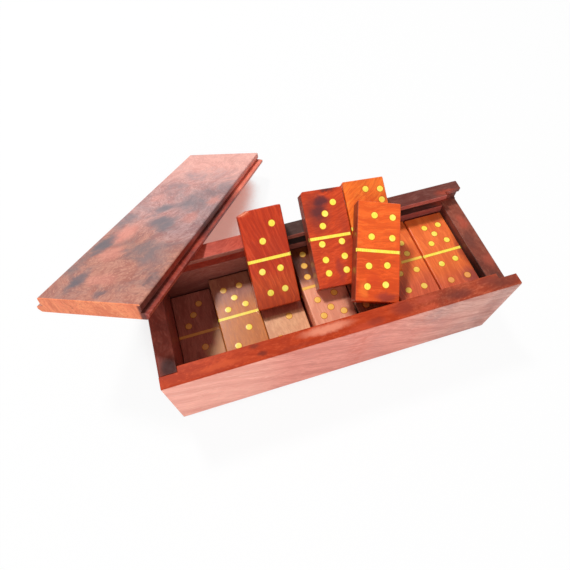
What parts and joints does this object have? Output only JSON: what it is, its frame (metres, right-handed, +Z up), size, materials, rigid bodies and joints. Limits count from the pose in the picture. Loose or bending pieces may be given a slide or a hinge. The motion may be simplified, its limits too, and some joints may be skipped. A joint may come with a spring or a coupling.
{
  "type": "domino storage box",
  "caption": "Long wooden box with a grooved sliding lid, holding a double-six set of inlaid wooden domino tiles; the lid is off and leans over the back wall.",
  "frame": {"origin": "middle of the box's underside, where it rests on the table", "axes": "+X runs along the box to the low end where the lid slides in, +Y to the back wall that the lid leans on, +Z up"},
  "size_m": [0.2489, 0.1994, 0.0902],
  "materials": {
    "box_wood": "satin",
    "lid_wood": "satin",
    "tile_wood": "satin",
    "inlay_wood": "satin"
  },
  "bodies": {
    "box": {"bottom": "box_wood", "front_wall": "box_wood", "back_wall": "box_wood", "left_end_board": "box_wood", "right_end_board": "box_wood", "inlays_shut_in": "inlay_wood", "tile_1_1": "tile_wood", "tile_4_0": "tile_wood", "inlays_4_0": "inlay_wood", "tile_5_2": "tile_wood", "inlays_5_2": "inlay_wood", "tile_3_3": "tile_wood", "tile_0_5": "tile_wood", "inlays_0_5": "inlay_wood", "tile_1_2": "tile_wood", "inlays_1_2": "inlay_wood", "tile_2_0": "tile_wood", "tile_1_6": "tile_wood", "inlays_1_6": "inlay_wood", "tile_4_3": "tile_wood", "inlays_4_3": "inlay_wood", "tile_6_5": "tile_wood", "inlays_6_5": "inlay_wood", "tile_0_3": "tile_wood", "tile_5_1": "tile_wood", "inlays_5_1": "inlay_wood", "tile_2_2": "tile_wood", "inlays_2_2": "inlay_wood", "tile_5_5": "tile_wood", "inlays_5_5": "inlay_wood", "tile_4_1": "tile_wood", "tile_0_0": "tile_wood", "inlays_0_0": "inlay_wood", "tile_3_5": "tile_wood", "inlays_3_5": "inlay_wood", "tile_6_4": "tile_wood", "inlays_6_4": "inlay_wood"},
    "lid": {"lid": "lid_wood"},
    "tile_6_0": {"tile_6_0": "tile_wood", "inlays_6_0": "inlay_wood"},
    "tile_3_2": {"tile_3_2": "tile_wood", "inlays_3_2": "inlay_wood"},
    "tile_2_6": {"tile_2_6": "tile_wood", "inlays_2_6": "inlay_wood"},
    "tile_1_3": {"tile_1_3": "tile_wood", "inlays_1_3": "inlay_wood"},
    "tile_0_1": {"tile_0_1": "tile_wood", "inlays_0_1": "inlay_wood"},
    "tile_5_4": {"tile_5_4": "tile_wood", "inlays_5_4": "inlay_wood"},
    "tile_2_4": {"tile_2_4": "tile_wood", "inlays_2_4": "inlay_wood"},
    "tile_3_6": {"tile_3_6": "tile_wood", "inlays_3_6": "inlay_wood"},
    "tile_6_6": {"tile_6_6": "tile_wood", "inlays_6_6": "inlay_wood"},
    "tile_4_4": {"tile_4_4": "tile_wood", "inlays_4_4": "inlay_wood"}
  },
  "joints": [
    {"name": "lid_lift", "type": "slide", "parent": "box", "child": "lid", "axis": [0, 0.4353, 0.9003], "range_m": [0, 0.1]},
    {"name": "lift_6_0", "type": "slide", "parent": "box", "child": "tile_6_0", "axis": [0, 0, 1], "range_m": [0, 0.036]},
    {"name": "lift_3_2", "type": "slide", "parent": "tile_6_0", "child": "tile_3_2", "axis": [0, 0, 1], "range_m": [0, 0.036]},
    {"name": "lift_2_6", "type": "slide", "parent": "box", "child": "tile_2_6", "axis": [0, 0, 1], "range_m": [0, 0.052]},
    {"name": "lift_1_3", "type": "slide", "parent": "tile_2_6", "child": "tile_1_3", "axis": [0, 0, 1], "range_m": [0, 0.0429]},
    {"name": "lift_0_1", "type": "slide", "parent": "tile_1_3", "child": "tile_0_1", "axis": [0, 0, 1], "range_m": [0, 0.0338]},
    {"name": "lift_5_4", "type": "slide", "parent": "tile_0_1", "child": "tile_5_4", "axis": [0, 0, 1], "range_m": [0, 0.0247]},
    {"name": "draw_2_4", "type": "slide", "parent": "box", "child": "tile_2_4", "axis": [0.0227, 0.778, 0.6278], "range_m": [0, 0.06]},
    {"name": "draw_3_6", "type": "slide", "parent": "box", "child": "tile_3_6", "axis": [0.0872, 0.9217, 0.378], "range_m": [0, 0.05]},
    {"name": "draw_6_6", "type": "slide", "parent": "box", "child": "tile_6_6", "axis": [0.0872, 0.9217, 0.378], "range_m": [0, 0.05]},
    {"name": "draw_4_4", "type": "slide", "parent": "tile_3_6", "child": "tile_4_4", "axis": [0.3256, 0.8748, 0.3588], "range_m": [0, 0.05]}
  ]
}
